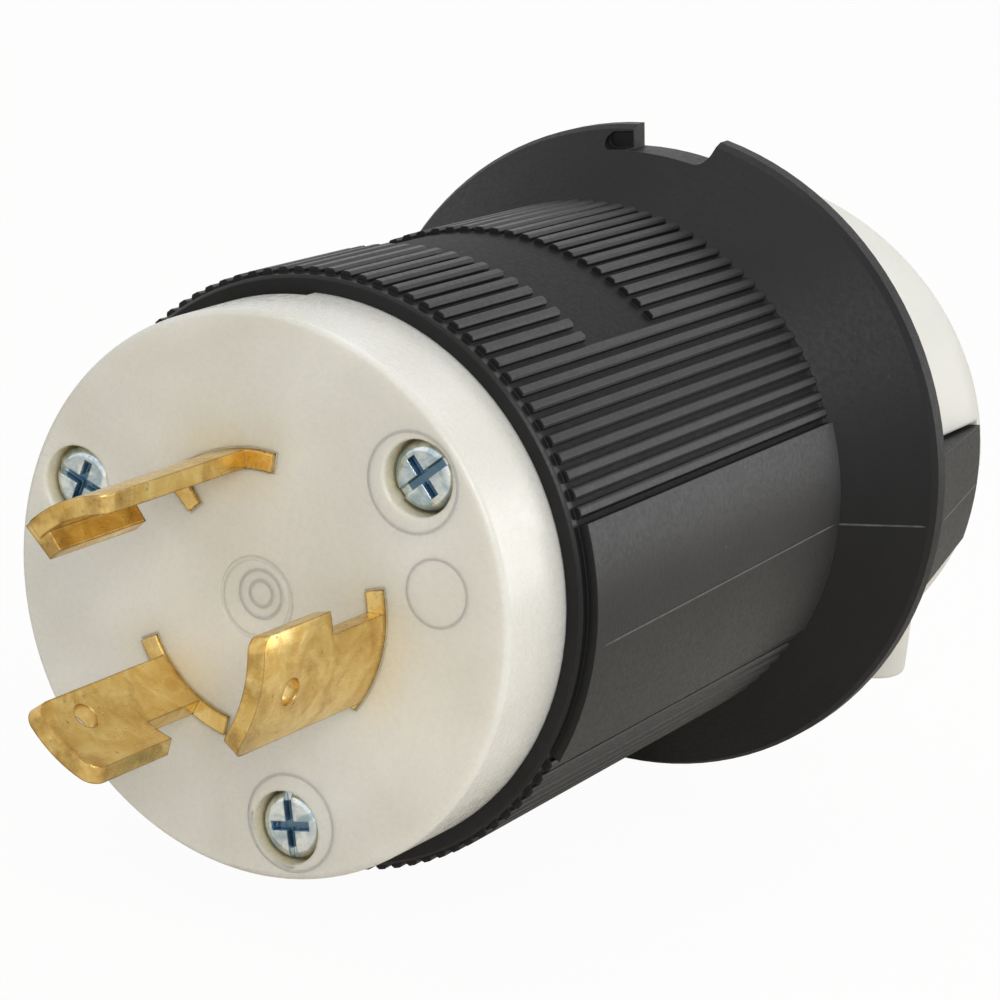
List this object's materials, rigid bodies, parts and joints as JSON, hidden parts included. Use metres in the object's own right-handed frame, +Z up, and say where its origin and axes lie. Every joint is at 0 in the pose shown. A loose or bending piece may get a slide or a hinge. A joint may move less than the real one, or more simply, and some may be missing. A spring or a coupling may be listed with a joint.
{
  "type": "locking power plug",
  "caption": "Twist-lock power plug: curved metal blades on a white front, ribbed black shell with a flared rim, and a white domed cord clamp.",
  "frame": {"origin": "on the plug's axis, at the flat mating face of the white front body", "axes": "-Y out of the mating face, along the blades; +Y back along the axis, the way the cord leaves; +Z up through the notch in the flared rim; +X to the right, through the parting line, seen from the front"},
  "size_m": [0.0596, 0.1053, 0.0593],
  "materials": {
    "white_nylon": "fine satin, slightly translucent",
    "clamp_nylon": "fine satin, slightly translucent",
    "black_nylon": "fine moulded texture, satin",
    "blade_brass": "stamped, lightly scratched",
    "insert_brass": "machined",
    "zinc_screw": "zinc plated",
    "grey_nylon": "satin",
    "ground_screw": "green plated",
    "live_screw": "plated",
    "neutral_screw": "silver plated",
    "nut_steel": "zinc plated",
    "seal_rubber": "matt, soft"
  },
  "bodies": {
    "root": {"front_body": "white_nylon", "blade_ground": "blade_brass", "blade_right": "blade_brass", "blade_left": "blade_brass", "assembly_screws": "zinc_screw", "boss_inserts": "insert_brass", "shell": "black_nylon", "blade_retainer": "grey_nylon", "terminal_screw_ground": "ground_screw", "terminal_screw_right": "live_screw", "terminal_screw_left": "neutral_screw", "terminal_nuts": "nut_steel", "clamp_plate_ground": "insert_brass", "clamp_plate_right": "insert_brass", "clamp_plate_left": "insert_brass", "dust_seal": "seal_rubber", "clamp_upper": "clamp_nylon", "clamp_lower": "clamp_nylon", "clamp_screws": "zinc_screw", "clamp_inserts": "insert_brass"}
  },
  "joints": []
}
